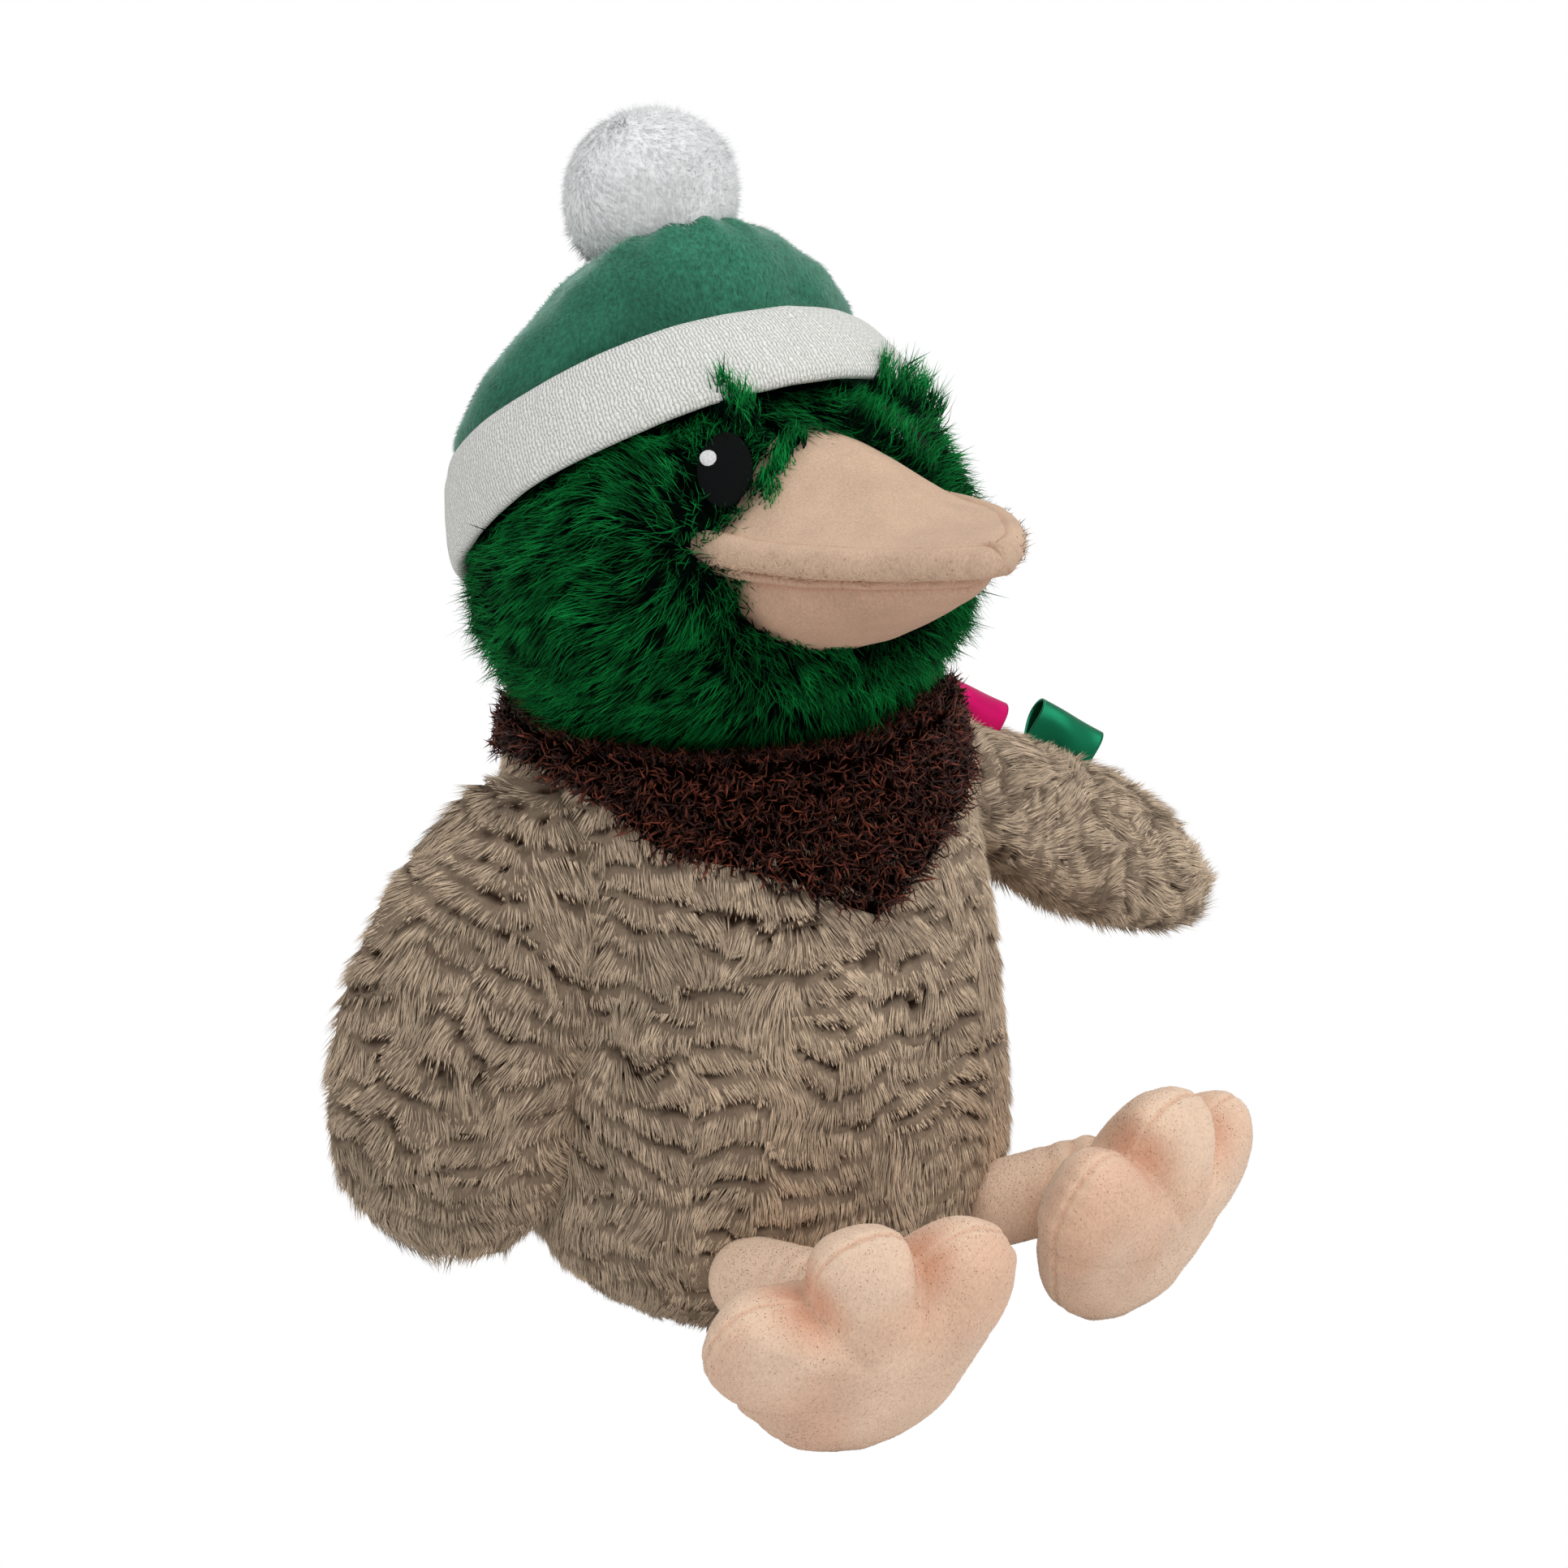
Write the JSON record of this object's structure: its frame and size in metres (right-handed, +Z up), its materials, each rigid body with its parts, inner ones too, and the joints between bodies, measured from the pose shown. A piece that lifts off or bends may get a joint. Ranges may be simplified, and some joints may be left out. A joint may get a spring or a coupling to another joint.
{
  "type": "plush duck",
  "caption": "Seated plush duck in a bobble hat, with a turning and nodding head, raising wings, swinging legs and flexing feet.",
  "frame": {"origin": "middle of the flat seat, on the surface that the duck sits on", "axes": "+Z up; the duck faces -Y; its own left side is +X"},
  "size_m": [0.2191, 0.166, 0.2427],
  "materials": {
    "taupe_plush": "embossed plush, matte",
    "brown_plush": "curly plush, matte",
    "green_plush": "long-pile plush, matte",
    "white_plush": "long-pile plush, matte",
    "peach_velour": "short-pile velour, matte",
    "teal_velour": "short-pile velour, matte",
    "cream_knit": "ribbed knit, matte",
    "black_thread": "embroidery, slight sheen",
    "white_thread": "embroidery, slight sheen",
    "pink_satin": "satin",
    "green_satin": "satin",
    "stuffing": "loose fibre, matte",
    "pouch_cloth": "plain weave, matte"
  },
  "bodies": {
    "torso": {"body_cover": "taupe_plush", "body_filling": "stuffing", "bean_pouch": "pouch_cloth", "neck_collar": "brown_plush", "tail": "taupe_plush"},
    "neck": {"neck_filling": "stuffing"},
    "head": {"head_cover": "green_plush", "head_filling": "stuffing", "bill_upper": "peach_velour", "bill_lower": "peach_velour", "eye_right": "black_thread", "eye_left": "black_thread", "eye_highlight_right": "white_thread", "eye_highlight_left": "white_thread", "hat_crown": "teal_velour", "hat_cuff": "cream_knit", "hat_filling": "stuffing"},
    "pompom": {"hat_pompom": "white_plush"},
    "wing_right": {"wing_right": "taupe_plush"},
    "wing_left": {"wing_left": "taupe_plush", "ribbon_loop_pink": "pink_satin", "ribbon_loop_green": "green_satin"},
    "leg_right": {"leg_right": "peach_velour"},
    "leg_left": {"leg_left": "peach_velour"},
    "foot_right": {"foot_right": "peach_velour"},
    "foot_left": {"foot_left": "peach_velour"}
  },
  "joints": [
    {"name": "neck_turn", "type": "hinge", "parent": "torso", "child": "neck", "pos_m": [0, 0.015, 0.113], "axis": [0, 0, 1], "range_deg": [-25, 25], "stiffness_Nm_per_rad": 1},
    {"name": "head_nod", "type": "hinge", "parent": "neck", "child": "head", "pos_m": [0, 0.015, 0.113], "axis": [1, 0, 0], "range_deg": [-8, 8], "stiffness_Nm_per_rad": 2},
    {"name": "pompom_flop", "type": "hinge", "parent": "head", "child": "pompom", "pos_m": [0, 0.0346, 0.21602], "axis": [1, 0, 0], "range_deg": [-12, 12], "stiffness_Nm_per_rad": 0.03},
    {"name": "wing_right_raise", "type": "hinge", "parent": "torso", "child": "wing_right", "pos_m": [-0.047, 0.006, 0.109], "axis": [0, 1, 0], "range_deg": [0, 88], "stiffness_Nm_per_rad": 0.15},
    {"name": "wing_left_raise", "type": "hinge", "parent": "torso", "child": "wing_left", "pos_m": [0.047, 0.006, 0.101], "axis": [0, -1, 0], "range_deg": [-20, 38], "stiffness_Nm_per_rad": 0.3},
    {"name": "hip_right_swing", "type": "hinge", "parent": "torso", "child": "leg_right", "pos_m": [-0.031, -0.04, 0.022], "axis": [1, 0, 0], "range_deg": [-25, 25], "stiffness_Nm_per_rad": 0.15},
    {"name": "ankle_right_flex", "type": "hinge", "parent": "leg_right", "child": "foot_right", "pos_m": [-0.0298, -0.0656, 0.0278], "axis": [1, 0, 0], "range_deg": [-20, 20], "stiffness_Nm_per_rad": 0.1},
    {"name": "hip_left_swing", "type": "hinge", "parent": "torso", "child": "leg_left", "pos_m": [0.031, -0.04, 0.022], "axis": [1, 0, 0], "range_deg": [-25, 25], "stiffness_Nm_per_rad": 0.15},
    {"name": "ankle_left_flex", "type": "hinge", "parent": "leg_left", "child": "foot_left", "pos_m": [0.0458, -0.051, 0.0276], "axis": [1, 0, 0], "range_deg": [-20, 20], "stiffness_Nm_per_rad": 0.1}
  ]
}
